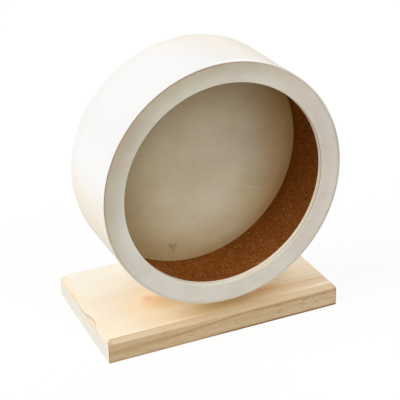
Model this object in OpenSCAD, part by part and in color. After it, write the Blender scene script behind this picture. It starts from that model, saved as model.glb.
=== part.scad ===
// Rodent exercise wheel. A drum of thin bent plywood with a cork running track turns on
// two ball bearings, which sit in an upright board on a bevelled pine base.
// Origin: centre of the base board's underside. +Z is up and the drum's open mouth faces -Y.
// Sizes are in millimetres.

/* [Drum] */
// Outer diameter over the bent shell
drum_d = 200; // [170:1:300]
// Front face of the ring to the rear face of the disc
drum_depth = 74; // [60:1:84]
// Thickness of the bent plywood shell, which wraps round the ring and the disc
shell_t = 1.5; // [1:0.1:3]
// Thickness of the front ring
ring_t = 6; // [3:0.5:9]
// Width of the front ring's face, from the shell to the mouth
ring_w = 14.8; // [8:0.1:30]
// Thickness of the back disc
disc_t = 5; // [3:0.5:8]
// Thickness of the cork running track
cork_t = 3; // [1:0.5:6]
// Bevel that sanding leaves on the ring's front edges
ring_arris = 0.4; // [0.1:0.1:1]
// Angle of the shell's scarf joint round the drum, from +X towards +Z
shell_seam_angle = 300; // [0:5:355]
// Slope of the scarf joint through the shell
scarf_slope = 60; // [0:5:65]
// Angle of the cork's butt joint round the drum
cork_seam_angle = 140; // [0:5:355]
// Width of the hairline at both joints
seam_gap = 0.3; // [0.1:0.1:1]

/* [Base board] */
// Length of the base board, along X
base_w = 205; // [160:1:300]
// Depth of the base board, along Y
base_d = 120; // [118:1:200]
// Thickness of the base board
base_t = 20; // [15:0.5:30]
// Bevel along the four top edges
base_bevel = 3.5; // [0.5:0.5:6]
// How far the ring's face stands in front of the base board
front_overhang = 3; // [0:0.5:10]
// Gap between the drum and the top of the base board
drum_clearance = 13; // [5:0.5:40]

/* [Upright board] */
// Width of the upright where it stands on the base
upright_foot_w = 84; // [70:1:110]
// Lean of the upright's two long sides, in degrees
upright_lean = 4; // [0:0.5:6]
// How much farther from the axle the arched top is than the sides
arch_rise = 8; // [2:0.5:20]
// Thickness of the upright
upright_t = 18; // [16:0.5:22]

/* [Upright joint] */
// Diameter of the screws' thread
screw_d = 4; // [3:0.5:5]
// Length of the screws, head included
screw_len = 45; // [35:1:60]
// Diameter of the countersunk heads
screw_head_d = 8; // [7:0.5:10]
// How deep the heads sit under the base board's bottom face
screw_sink = 0.5; // [0.2:0.1:2]
// Distance between the two screws
screw_spacing = 26; // [20:1:34]
// Diameter of the dowels
dowel_d = 8; // [5:1:10]
// Length of the dowels
dowel_len = 30; // [20:1:36]
// Part of each dowel's length that sits in the base board
dowel_in_base = 12; // [6:1:13]
// Distance from the upright's foot corner to the dowel's axis
dowel_inset = 12; // [9:0.5:14]

/* [Hub] */
// Diameter of the round hub block glued behind the disc
hub_d = 56; // [40:1:80]
// Thickness of the hub block
hub_t = 10; // [8:0.5:14]
// Bevel round the hub block's rear edge
hub_bevel = 1.5; // [0.5:0.5:3]

/* [Axle hardware] */
// Diameter of the axle bolt
axle_d = 8; // [7:0.5:9]
// Width across the flats of the bolt's head and the nuts
hex_af = 13; // [12:0.5:14]
// Height of the bolt's head
head_h = 5.3; // [4:0.1:6]
// Height of the jam nut that locks the bolt to the hub
jam_nut_h = 4; // [3:0.1:6]
// Height of the lock nut at the rear, collar included
lock_nut_h = 8; // [7:0.1:9]
// Height of the lock nut's round collar, which holds the nylon ring
collar_h = 2.6; // [2:0.1:3]
// Length of bolt that shows past the lock nut
bolt_proud = 1.1; // [0.5:0.1:3]
// Outer diameter of the washer behind the hub
washer_d = 16; // [15:0.5:24]
// Thickness of the washer behind the hub
washer_t = 1.6; // [1:0.1:2.5]
// Wall of the thrust washers and of the spacer between the bearings
sleeve_wall = 1.5; // [1:0.1:1.7]
// Thickness of the thrust washers
thrust_t = 1; // [0.6:0.1:2]

/* [Ball bearings] */
// Outer diameter of each bearing
bearing_d = 22; // [21:0.5:24]
// Width of each bearing
bearing_w = 7; // [6.5:0.5:7.5]
// How far each bearing stands proud of the upright's face
bearing_proud = 0.4; // [0.2:0.1:1]
// Diameter of the balls
ball_d = 3.96; // [3.7:0.01:4.1]
// Number of balls in each bearing
ball_count = 7; // [5:1:8]
// Depth of the ball grooves under the races' shoulders
groove_depth = 0.65; // [0.4:0.05:0.8]
// Radial thickness of the ball cage
cage_t = 1.8; // [1.2:0.1:2]
// Web of the ball cage behind each ball
cage_web = 0.4; // [0.3:0.05:0.5]
// How far the cage's prongs reach past the middle of the balls
cage_reach = 1.3; // [1:0.1:1.6]
// Thickness of the pressed shields
shield_t = 0.4; // [0.3:0.05:0.5]

/* [Fits] */
// Glue line between plywood pieces and round the cork
glue_gap = 0.1; // [0.05:0.05:0.3]
// Radial clearance of the bearings in the upright
pocket_fit = 0.03; // [0.01:0.01:0.1]
// Radial clearance of the bolt in the bearings, washers and nuts
axle_fit = 0.05; // [0.02:0.01:0.1]
// Radial clearance of the screws and dowels in their holes
wood_fit = 0.05; // [0.02:0.01:0.2]
// Clearance round the bolt's head in the hub's six-sided pocket
pocket_play = 0.2; // [0.1:0.05:0.5]
// Clearance between a ball and its grooves and cage
ball_play = 0.12; // [0.1:0.01:0.2]
// Radial gap between a shield and the inner race
shield_gap = 0.3; // [0.2:0.05:0.5]

/* [Hidden] */
$fn = 128;

// Cutters reach past the faces that they cut by this much
past = 1;

// The drum, from its front face to its rear face
drum_r = drum_d / 2;
inner_r = drum_r - shell_t;
track_r = inner_r - cork_t;
mouth_r = inner_r - ring_w;
axle_z = base_t + drum_clearance + drum_r;
ring_front_y = -base_d / 2 - front_overhang;
ring_rear_y = ring_front_y + ring_t;
disc_rear_y = ring_front_y + drum_depth;
disc_front_y = disc_rear_y - disc_t;

// The stack along the axle, from the hub to the end of the bolt
pocket_depth = head_h + pocket_play;
head_rear_y = disc_rear_y + pocket_depth;
hub_rear_y = disc_rear_y + hub_t;
jam_nut_y = hub_rear_y + washer_t;
front_thrust_y = jam_nut_y + jam_nut_h;
front_bearing_y = front_thrust_y + thrust_t;
upright_front_y = front_bearing_y + bearing_proud;
upright_rear_y = upright_front_y + upright_t;
rear_bearing_y = upright_rear_y + bearing_proud - bearing_w;
rear_thrust_y = rear_bearing_y + bearing_w;
lock_nut_y = rear_thrust_y + thrust_t;
bolt_end_y = lock_nut_y + lock_nut_h + bolt_proud;

// The bearings' inner geometry
axle_r = axle_d / 2;
bore_r = axle_r + axle_fit;
bearing_r = bearing_d / 2;
pitch_r = (axle_r + bearing_r) / 2;
ball_r = ball_d / 2;
groove_r = ball_r + ball_play;
inner_shoulder_r = pitch_r - groove_r + groove_depth;
outer_shoulder_r = pitch_r + groove_r - groove_depth;
race_edge = 0.3;
shield_lap = 0.6;
shield_inset = 0.3;
shield_seat_r = outer_shoulder_r + shield_lap;
shield_seat_depth = shield_inset + shield_t;
sleeve_r = axle_r + sleeve_wall;

// The upright's leaning sides, and the arch of its top, which is centred on the axle
upright_h = axle_z - base_t;
foot_half_w = upright_foot_w / 2;
axle_half_w = foot_half_w - upright_h * tan(upright_lean);
arch_r = axle_half_w + arch_rise;
upright_mid_y = (upright_front_y + upright_rear_y) / 2;
dowel_x = foot_half_w - dowel_inset;
screw_head_h = (screw_head_d - screw_d) / 2;
screw_tip_h = 6;
screw_tip_r = 0.4;

// The corners of the bolt's head and the nuts are turned off in a shallow cone
hex_turn_inset = 0.2;
hex_turn_slope = 30;

// The lock nut's collar holds a nylon ring under a thin rolled lip
insert_wall = 1.25;
collar_wall = 0.8;
collar_lip = 0.5;
insert_r = bore_r + insert_wall;
collar_r = insert_r + collar_wall;
insert_h = collar_h - collar_lip;

pine = [0.93, 0.82, 0.64];
pale_ply = [0.96, 0.94, 0.90];
ring_ply = [0.79, 0.75, 0.70];
disc_ply = [0.66, 0.61, 0.51];
cork = [0.40, 0.23, 0.09];
zinc = [0.75, 0.76, 0.78];
steel = [0.60, 0.61, 0.63];
beech = [0.85, 0.72, 0.52];
nylon = [0.25, 0.40, 0.75];

// Puts children that stand on Z on the axle, with their foot at y and their top to the rear
module on_axle(y) {
    translate([0, y, axle_z]) rotate([-90, 0, 0]) children();
}

// A flat ring about Z, with its lower and upper outer edges bevelled
module washer_ring(outer_r, hole_r, height, low_bevel = 0, high_bevel = 0) {
    rotate_extrude() polygon([
        [hole_r, 0],
        [outer_r - low_bevel, 0],
        [outer_r, low_bevel],
        [outer_r, height - high_bevel],
        [outer_r - high_bevel, height],
        [hole_r, height]
    ]);
}

// A six-sided prism about Z whose corners are turned off at the ends that are asked for
module hex_body(flats, height, turn_low, turn_high) {
    corner_r = flats / sqrt(3);
    turned_r = flats / 2 - hex_turn_inset;
    blank_r = corner_r + past;
    cone_h = (blank_r - turned_r) * tan(hex_turn_slope);
    intersection() {
        cylinder(r = corner_r, h = height, $fn = 6);
        rotate_extrude() polygon([
            [0, 0],
            [turn_low ? turned_r : blank_r, 0],
            [blank_r, turn_low ? cone_h : 0],
            [blank_r, turn_high ? height - cone_h : height],
            [turn_high ? turned_r : blank_r, height],
            [0, height]
        ]);
    }
}

// Board of the base: a bevelled profile along X meets a bevelled profile along Y
module bevelled_profile(width) {
    half = width / 2;
    polygon([
        [-half, 0],
        [half, 0],
        [half, base_t - base_bevel],
        [half - base_bevel, base_t],
        [-half + base_bevel, base_t],
        [-half, base_t - base_bevel]
    ]);
}

module screw_places() {
    for (side = [-1, 1]) translate([side * screw_spacing / 2, upright_mid_y, screw_sink]) children();
}

module dowel_places() {
    for (side = [-1, 1]) translate([side * dowel_x, upright_mid_y, base_t - dowel_in_base]) children();
}

module base_board() {
    color(pine) difference() {
        intersection() {
            translate([0, base_d / 2, 0]) rotate([90, 0, 0])
                linear_extrude(base_d) bevelled_profile(base_w);
            translate([-base_w / 2, 0, 0]) rotate([90, 0, 90])
                linear_extrude(base_w) bevelled_profile(base_d);
        }
        screw_places() {
            translate([0, 0, -screw_sink - past])
                cylinder(r = screw_head_d / 2 + wood_fit, h = screw_sink + past);
            cylinder(r1 = screw_head_d / 2 + wood_fit, r2 = screw_d / 2 + wood_fit, h = screw_head_h);
            cylinder(r = screw_d / 2 + wood_fit, h = base_t + past);
        }
        dowel_places() cylinder(r = dowel_d / 2 + wood_fit, h = dowel_in_base + past);
    }
}

// The upright as seen from the mouth, with the axle at the origin: the leaning sides run on
// past the top, and all that is above the axle and farther away than the arch is sawn off
module upright_outline() {
    blank_h = upright_h + arch_r + past;
    blank_half_w = foot_half_w - blank_h * tan(upright_lean);
    difference() {
        polygon([
            [-foot_half_w, -upright_h],
            [foot_half_w, -upright_h],
            [blank_half_w, arch_r + past],
            [-blank_half_w, arch_r + past]
        ]);
        difference() {
            translate([-upright_foot_w, 0]) square([2 * upright_foot_w, 2 * arch_r]);
            circle(r = arch_r);
        }
    }
}

module upright_board() {
    color(pine) difference() {
        translate([0, upright_rear_y, axle_z]) rotate([90, 0, 0])
            linear_extrude(upright_t) upright_outline();
        // Two stepped pockets for the bearings, with a web left between them
        on_axle(front_bearing_y - past)
            cylinder(r = bearing_r + pocket_fit, h = bearing_w + past);
        on_axle(rear_bearing_y)
            cylinder(r = bearing_r + pocket_fit, h = bearing_w + past);
        on_axle(front_bearing_y)
            cylinder(r = shield_seat_r - glue_gap, h = upright_t);
        dowel_places() cylinder(r = dowel_d / 2 + wood_fit, h = dowel_len + wood_fit);
        screw_places() cylinder(r = screw_d / 2 + wood_fit, h = screw_len + wood_fit);
    }
}

module countersunk_screw() {
    slot_w = 0.9;
    slot_span = 4.4;
    slot_depth = 1.6;
    difference() {
        rotate_extrude() polygon([
            [0, 0],
            [screw_head_d / 2, 0],
            [screw_d / 2, screw_head_h],
            [screw_d / 2, screw_len - screw_tip_h],
            [screw_tip_r, screw_len],
            [0, screw_len]
        ]);
        for (turn = [0, 90]) rotate(turn)
            translate([-slot_span / 2, -slot_w / 2, -past])
                cube([slot_span, slot_w, slot_depth + past]);
    }
}

module upright_screws() {
    color(zinc) screw_places() countersunk_screw();
}

module upright_dowels() {
    end_bevel = 0.8;
    color(beech) dowel_places()
        washer_ring(dowel_d / 2, 0, dowel_len, end_bevel, end_bevel);
}

// The pieces of one bearing stand on Z, from the front face of its races
module outer_race() {
    color(steel) difference() {
        washer_ring(bearing_r, outer_shoulder_r, bearing_w, race_edge, race_edge);
        translate([0, 0, bearing_w / 2]) rotate_extrude()
            translate([pitch_r, 0]) circle(r = groove_r, $fn = 48);
        translate([0, 0, -past]) cylinder(r = shield_seat_r, h = shield_seat_depth + past);
        translate([0, 0, bearing_w - shield_seat_depth])
            cylinder(r = shield_seat_r, h = shield_seat_depth + past);
    }
}

module inner_race() {
    color(steel) difference() {
        washer_ring(inner_shoulder_r, bore_r, bearing_w, race_edge, race_edge);
        translate([0, 0, bearing_w / 2]) rotate_extrude()
            translate([pitch_r, 0]) circle(r = groove_r, $fn = 48);
    }
}

module ball_places() {
    for (step = [0 : ball_count - 1]) rotate(step * 360 / ball_count)
        translate([pitch_r, 0, bearing_w / 2]) children();
}

module balls() {
    color(steel) ball_places() sphere(r = ball_r, $fn = 48);
}

// A crown cage: a ring behind the balls, with prongs between them that they snap past
module cage() {
    foot = bearing_w / 2 - groove_r - cage_web;
    top = bearing_w / 2 + cage_reach;
    color(nylon) difference() {
        translate([0, 0, foot])
            washer_ring(pitch_r + cage_t / 2, pitch_r - cage_t / 2, top - foot);
        ball_places() sphere(r = groove_r, $fn = 48);
    }
}

module shields() {
    shield_r = shield_seat_r - axle_fit;
    hole_r = inner_shoulder_r + shield_gap;
    color(zinc) for (foot = [shield_inset, bearing_w - shield_inset - shield_t])
        translate([0, 0, foot]) washer_ring(shield_r, hole_r, shield_t);
}

// A slot through a drum wall that leans by slope, at an angle counted from +X towards +Z
module seam_cut(angle, slope, from_y, length) {
    wall_r = (drum_r + track_r) / 2;
    reach = 3 * (shell_t + cork_t);
    on_axle(from_y - past) rotate(-angle) translate([wall_r, 0, 0]) rotate(slope)
        translate([-reach, -seam_gap / 2, 0]) cube([2 * reach, seam_gap, length + 2 * past]);
}

module drum_shell() {
    color(pale_ply) difference() {
        on_axle(ring_front_y) washer_ring(drum_r, inner_r, drum_depth);
        seam_cut(shell_seam_angle, scarf_slope, ring_front_y, drum_depth);
    }
}

module front_ring() {
    rim_r = inner_r - glue_gap;
    color(ring_ply) on_axle(ring_front_y) rotate_extrude() polygon([
        [mouth_r + ring_arris, 0],
        [rim_r - ring_arris, 0],
        [rim_r, ring_arris],
        [rim_r, ring_t],
        [mouth_r + ring_arris, ring_t],
        [mouth_r, ring_t - ring_arris],
        [mouth_r, ring_arris]
    ]);
}

module cork_liner() {
    foot_y = ring_rear_y + glue_gap;
    width = disc_front_y - ring_rear_y - 2 * glue_gap;
    color(cork) difference() {
        on_axle(foot_y) washer_ring(inner_r - glue_gap, track_r, width);
        seam_cut(cork_seam_angle, 0, foot_y, width);
    }
}

module back_disc() {
    color(disc_ply) on_axle(disc_front_y) cylinder(r = inner_r - glue_gap, h = disc_t);
}

module hub_block() {
    color(pale_ply) difference() {
        on_axle(disc_rear_y) washer_ring(hub_d / 2, 0, hub_t, 0, hub_bevel);
        on_axle(disc_rear_y - past)
            cylinder(r = (hex_af + 2 * pocket_play) / sqrt(3), h = pocket_depth + past, $fn = 6);
        on_axle(disc_rear_y) cylinder(r = bore_r, h = hub_t + past);
    }
}

module axle_bolt() {
    end_bevel = 0.8;
    color(zinc) {
        on_axle(head_rear_y - head_h) hex_body(hex_af, head_h, true, false);
        on_axle(head_rear_y)
            washer_ring(axle_r, 0, bolt_end_y - head_rear_y, 0, end_bevel);
    }
}

module hub_washer() {
    color(zinc) on_axle(hub_rear_y) washer_ring(washer_d / 2, bore_r, washer_t);
}

module jam_nut() {
    color(zinc) difference() {
        on_axle(jam_nut_y) hex_body(hex_af, jam_nut_h, true, true);
        on_axle(jam_nut_y - past) cylinder(r = bore_r, h = jam_nut_h + 2 * past);
    }
}

module thrust_washer() {
    color(zinc) washer_ring(sleeve_r, bore_r, thrust_t);
}

module race_spacer() {
    foot_y = front_bearing_y + bearing_w;
    color(zinc) on_axle(foot_y) washer_ring(sleeve_r, bore_r, rear_bearing_y - foot_y);
}

module lock_nut() {
    hex_h = lock_nut_h - collar_h;
    color(zinc) on_axle(lock_nut_y) difference() {
        union() {
            hex_body(hex_af, hex_h, true, true);
            translate([0, 0, hex_h - past]) cylinder(r = collar_r, h = collar_h + past);
        }
        translate([0, 0, -past]) cylinder(r = bore_r, h = lock_nut_h + 2 * past);
        translate([0, 0, hex_h]) cylinder(r = insert_r, h = insert_h);
        translate([0, 0, hex_h]) cylinder(r = insert_r - collar_lip, h = collar_h + past);
    }
}

module lock_nut_insert() {
    insert_y = lock_nut_y + lock_nut_h - collar_h;
    color(nylon) on_axle(insert_y) washer_ring(insert_r - axle_fit, bore_r, insert_h - axle_fit);
}

base_board();
upright_board();
upright_screws();
upright_dowels();
on_axle(front_bearing_y) outer_race();  // front_bearing_outer_race
on_axle(front_bearing_y) inner_race();  // front_bearing_inner_race
on_axle(front_bearing_y) balls();  // front_bearing_balls
on_axle(front_bearing_y) cage();  // front_bearing_cage
on_axle(front_bearing_y) shields();  // front_bearing_shields
on_axle(rear_bearing_y) outer_race();  // rear_bearing_outer_race
on_axle(rear_bearing_y) inner_race();  // rear_bearing_inner_race
on_axle(rear_bearing_y) balls();  // rear_bearing_balls
on_axle(rear_bearing_y) cage();  // rear_bearing_cage
on_axle(rear_bearing_y) shields();  // rear_bearing_shields
drum_shell();
front_ring();
cork_liner();
back_disc();
hub_block();
axle_bolt();
hub_washer();
jam_nut();
on_axle(front_thrust_y) thrust_washer();  // front_thrust_washer
race_spacer();
on_axle(rear_thrust_y) thrust_washer();  // rear_thrust_washer
lock_nut();
lock_nut_insert();
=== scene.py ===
# %% [markdown]
# A wooden exercise wheel for a hamster. A drum of bent plywood with a cork running track
# turns on two small ball bearings, and these sit in an upright board behind the drum. The CAD
# model gives the exact shapes. This script adds what a picture needs: wood with growth rings
# and knots, veneer, cork crumbs, plated steel, screw threads, light and a camera.
#
# Everything is in metres, in the frame of the CAD model: the origin is the centre of the base
# board's underside, +Z is up, and the drum's open mouth faces -Y.

import math

import bmesh
import bpy
from mathutils import Matrix, Vector


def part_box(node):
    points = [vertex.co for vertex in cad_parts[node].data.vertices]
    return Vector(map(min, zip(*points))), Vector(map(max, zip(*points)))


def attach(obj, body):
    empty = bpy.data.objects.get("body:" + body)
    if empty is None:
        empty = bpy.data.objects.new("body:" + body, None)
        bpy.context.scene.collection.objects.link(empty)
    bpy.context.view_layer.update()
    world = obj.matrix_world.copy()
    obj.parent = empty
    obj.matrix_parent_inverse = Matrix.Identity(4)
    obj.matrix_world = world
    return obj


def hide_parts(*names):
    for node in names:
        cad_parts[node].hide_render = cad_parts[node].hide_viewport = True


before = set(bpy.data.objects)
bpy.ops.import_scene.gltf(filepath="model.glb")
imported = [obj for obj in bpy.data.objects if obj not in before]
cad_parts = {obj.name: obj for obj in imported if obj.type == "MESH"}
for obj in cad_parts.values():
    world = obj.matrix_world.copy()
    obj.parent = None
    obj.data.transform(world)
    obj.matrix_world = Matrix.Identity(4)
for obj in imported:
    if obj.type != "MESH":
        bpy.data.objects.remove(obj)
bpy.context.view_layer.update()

# %% [markdown]
# The sizes below come from the model itself, so that paint and pieces stay where the solids
# are. Materials think in millimetres, because wood rings and cork crumbs are easier to judge
# that way. The axle is the middle of the drum, and it runs along Y. Only the radius of the
# mouth has to be written down, because a node's box doesn't show the hole in it.

# %% Sizes taken from the model
MM = 0.001
MOUTH_R = 83.7


def extent(node):
    """The lowest and the highest corner of a CAD node, in millimetres."""
    low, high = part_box(node)
    return low / MM, high / MM


base_low, base_high = extent("base_board")
shell_low, shell_high = extent("drum_shell")
disc_low, disc_high = extent("back_disc")
ring_face_y = extent("front_ring")[0].y
axle_z = (shell_low.z + shell_high.z) / 2
drum_r = (shell_high.z - shell_low.z) / 2
print("Axle height", round(axle_z, 1), "mm, drum radius", round(drum_r, 1), "mm")

# %% [markdown]
# The camera stands to the left of the wheel and above it, about a metre away, with a long
# lens. Its place and its turn were solved from the outlines of the drum, the mouth and the
# base board. A small roll is part of the solution: the picture was taken slightly tilted.

# %% Camera
CAMERA_PLACE = Vector((-0.34053, -0.7904, 0.5089))
CAMERA_AZIMUTH = -0.41219
CAMERA_HEIGHT_ANGLE = 0.44853
CAMERA_ROLL = -0.024796
LENS_MM = 104.05
SENSOR_MM = 36.0
NEAREST_SEEN = 0.01

backward = Vector((
    math.sin(CAMERA_AZIMUTH) * math.cos(CAMERA_HEIGHT_ANGLE),
    -math.cos(CAMERA_AZIMUTH) * math.cos(CAMERA_HEIGHT_ANGLE),
    math.sin(CAMERA_HEIGHT_ANGLE),
))
level_right = Vector((math.cos(CAMERA_AZIMUTH), math.sin(CAMERA_AZIMUTH), 0.0))
level_up = backward.cross(level_right)
right = math.cos(CAMERA_ROLL) * level_right + math.sin(CAMERA_ROLL) * level_up
up = -math.sin(CAMERA_ROLL) * level_right + math.cos(CAMERA_ROLL) * level_up

camera_data = bpy.data.cameras.new("camera")
camera_data.lens = LENS_MM
camera_data.sensor_width = SENSOR_MM
camera_data.clip_start = NEAREST_SEEN
camera = bpy.data.objects.new("camera", camera_data)
bpy.context.scene.collection.objects.link(camera)
turn = Matrix((right, up, backward)).transposed()
camera.matrix_world = Matrix.Translation(CAMERA_PLACE) @ turn.to_4x4()
bpy.context.scene.camera = camera
bpy.context.scene.view_settings.view_transform = "Standard"
print("Camera is", round(CAMERA_PLACE.length, 2), "m from the origin")

# %% [markdown]
# The light is that of a small product studio. A broad soft lamp stands high on the left, so
# the left of the drum and the top of the base board are brightest. Two weaker ones shine into
# the mouth. One stands in front and lights the back disc. The other hangs higher, so its light
# falls on the lowest part of the track and of the disc. A fourth one lights the rear. Sun
# lamps with a wide angle do this well: their level is the same at any distance, and their
# shadows are soft.

# %% Lamps
LAMPS = {  # name: (where it shines from, level, spread in degrees)
    "key_lamp": (Vector((-0.79, 0.00, 0.61)), 0.72, 40),
    "front_lamp": (Vector((-0.08, -0.86, 0.50)), 0.20, 66),
    "high_lamp": (Vector((0.22, -0.52, 0.82)), 0.21, 40),
    "rear_lamp": (Vector((0.55, 0.40, 0.73)), 0.22, 60),
}


def soft_lamp(name, shines_from, level, spread_degrees):
    """A lamp far away. At level 1 a white sheet that faces it shows as white."""
    lamp_data = bpy.data.lights.new(name, "SUN")
    lamp_data.energy = level * math.pi
    lamp_data.angle = math.radians(spread_degrees)
    lamp = bpy.data.objects.new(name, lamp_data)
    lamp.rotation_euler = shines_from.to_track_quat("Z", "Y").to_euler()
    bpy.context.scene.collection.objects.link(lamp)


for lamp_name, (shines_from, level, spread_degrees) in LAMPS.items():
    soft_lamp(lamp_name, shines_from, level, spread_degrees)
print("Lamps:", ", ".join(LAMPS))

# %% [markdown]
# A pale room fills in the rest of the light. The backdrop has to be plain white without
# lighting the wheel like a lamp. So a ray's kind decides: rays from the camera, or from a
# mirror or a glass, see full white, and all other rays see the dimmer room. A few small helpers
# build the node trees, here and for the floor and the finishes.

# %% Room
ROOM_LEVEL = 0.24
WHITE = (1.0, 1.0, 1.0, 1.0)


def feed(tree, socket, value):
    """Links another node's output to a socket, or sets the socket to a plain value."""
    if isinstance(value, bpy.types.NodeSocket):
        tree.links.new(value, socket)
    else:
        socket.default_value = value


def added(tree, kind, feeds=None, **settings):
    """Adds a node with its settings, and feeds its inputs by name or number."""
    made = tree.nodes.new(kind)
    for name, value in settings.items():
        setattr(made, name, value)
    for name, value in (feeds or {}).items():
        feed(tree, made.inputs[name], value)
    return made


def looked_at(tree):
    """1 for rays from the camera, a mirror or a glass, and 0 for rays that carry light."""
    ray = added(tree, "ShaderNodeLightPath").outputs
    seen = ray["Is Camera Ray"]
    for kind in ("Is Glossy Ray", "Is Transmission Ray"):
        seen = added(tree, "ShaderNodeMath", {0: seen, 1: ray[kind]}, operation="MAXIMUM").outputs[0]
    return seen


def mixed(tree, share, first, second):
    """Mixes two shaders: the first where share is 0, the second where it is 1."""
    return added(tree, "ShaderNodeMixShader", {
        "Fac": share, 1: first.outputs[0], 2: second.outputs[0],
    })


room = bpy.data.worlds.new("room")
bpy.context.scene.world = room
room.use_nodes = True
room.node_tree.nodes.clear()
fill_light = added(room.node_tree, "ShaderNodeBackground", {"Color": WHITE, "Strength": ROOM_LEVEL})
white_paper = added(room.node_tree, "ShaderNodeBackground", {"Color": WHITE, "Strength": 1.0})
room_light = mixed(room.node_tree, looked_at(room.node_tree), fill_light, white_paper)
added(room.node_tree, "ShaderNodeOutputWorld", {"Surface": room_light.outputs[0]})
print("Room level", ROOM_LEVEL)

# %% [markdown]
# The floor is a wide sheet of white paper that shows the wheel's soft shadow. Most of its white
# is glow, so it joins the backdrop without an edge, and the rest is lit, which keeps the shadow.
# The light that it throws back is that of a grey sheet, so it doesn't brighten the wheel from
# below. It lies a hair under the board and is clear from below, so that the underside shows
# there.

# %% Floor
FLOOR_SIZE = 12.0
FLOOR_GAP = 0.00005
FLOOR_GLOW_SHARE = 0.89
FLOOR_LIT_COLOUR = (0.95, 0.95, 0.95, 1.0)
FLOOR_BOUNCE_COLOUR = (0.34, 0.34, 0.34, 1.0)

half_floor = FLOOR_SIZE / 2
floor_corners = [(-1, -1), (1, -1), (1, 1), (-1, 1)]
floor_mesh = bpy.data.meshes.new("floor")
floor_mesh.from_pydata(
    [(x * half_floor, y * half_floor, -FLOOR_GAP) for x, y in floor_corners], [], [(0, 1, 2, 3)])
floor = bpy.data.objects.new("floor", floor_mesh)
bpy.context.scene.collection.objects.link(floor)

floor_paint = bpy.data.materials.new("floor_paper")
floor_paint.use_nodes = True
floor_tree = floor_paint.node_tree
floor_tree.nodes.clear()
bounce = added(floor_tree, "ShaderNodeBsdfDiffuse", {"Color": FLOOR_BOUNCE_COLOUR})
lit_paper = added(floor_tree, "ShaderNodeBsdfDiffuse", {"Color": FLOOR_LIT_COLOUR})
glow = added(floor_tree, "ShaderNodeEmission", {"Color": WHITE, "Strength": 1.0})
seen_paper = mixed(floor_tree, FLOOR_GLOW_SHARE, lit_paper, glow)
upper_side = mixed(floor_tree, looked_at(floor_tree), bounce, seen_paper)
side = added(floor_tree, "ShaderNodeNewGeometry").outputs["Backfacing"]
clear = added(floor_tree, "ShaderNodeBsdfTransparent")
both_sides = mixed(floor_tree, side, upper_side, clear)
added(floor_tree, "ShaderNodeOutputMaterial", {"Surface": both_sides.outputs[0]})
floor_mesh.materials.append(floor_paint)
print("Floor", FLOOR_SIZE, "m wide")

# %% [markdown]
# A finish is a material that is built up in named steps, all of them worked out from a point's
# place on the piece. Because the place is read in the piece's own coordinates, the grain turns
# with the wheel. The bench comes first: it opens a material, finds the place in millimetres,
# and knows the arithmetic that all patterns are made of.

# %% The bench: a material and its arithmetic
def tone(red, green, blue):
    """A colour given as a screen colour from 0 to 255, turned into the light it stands for."""
    def light(value):
        share = value / 255
        if share <= 0.04045:
            return share / 12.92
        return ((share + 0.055) / 1.055) ** 2.4
    return (light(red), light(green), light(blue), 1.0)


class Bench:
    """One material. Each method adds one step and gives back its result."""

    def __init__(self, name, roughness=0.6, shine=0.3):
        self.material = bpy.data.materials.new(name)
        self.material.use_nodes = True
        self.tree = self.material.node_tree
        self.shader = self.tree.nodes["Principled BSDF"]
        self.shader.inputs["Roughness"].default_value = roughness
        self.shader.inputs["Specular IOR Level"].default_value = shine
        metres = self.step("ShaderNodeTexCoord").outputs["Object"]
        self.place = self.scaled(metres, (1000, 1000, 1000))
        split = self.step("ShaderNodeSeparateXYZ", {"Vector": self.place})
        self.x, self.y, self.z = split.outputs

    def step(self, kind, feeds=None, **settings):
        return added(self.tree, kind, feeds, **settings)

    def sum(self, operation, first, second=0.0, third=0.0):
        """One sum, called by Blender's word for it."""
        made = self.step("ShaderNodeMath", {0: first, 1: second, 2: third}, operation=operation)
        return made.outputs[0]

    def times(self, first, second):
        return self.sum("MULTIPLY", first, second)

    def plus(self, first, second):
        return self.sum("ADD", first, second)

    def either(self, first, second):
        """The larger of two shares: 1 where any of them is 1."""
        return self.sum("MAXIMUM", first, second)

    def scaled(self, vector, factors):
        """A place with each of its axes stretched. A small factor draws a pattern out."""
        return self.step("ShaderNodeVectorMath", {0: vector, 1: factors},
                         operation="MULTIPLY").outputs[0]

    def joined(self, x, y, z):
        return self.step("ShaderNodeCombineXYZ", {"X": x, "Y": y, "Z": z}).outputs[0]


print("A mid grey of 128 stands for", round(tone(128, 128, 128)[0], 3), "of the light")

# %% [markdown]
# Patterns turn a place into a share between 0 and 1, which later says how much of a colour is
# laid on. Noise gives soft random patches. A fade marks one side of a line, a window a band,
# and a spot an egg-shaped patch whose edge may wobble, so that it looks grown and not drawn.

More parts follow.
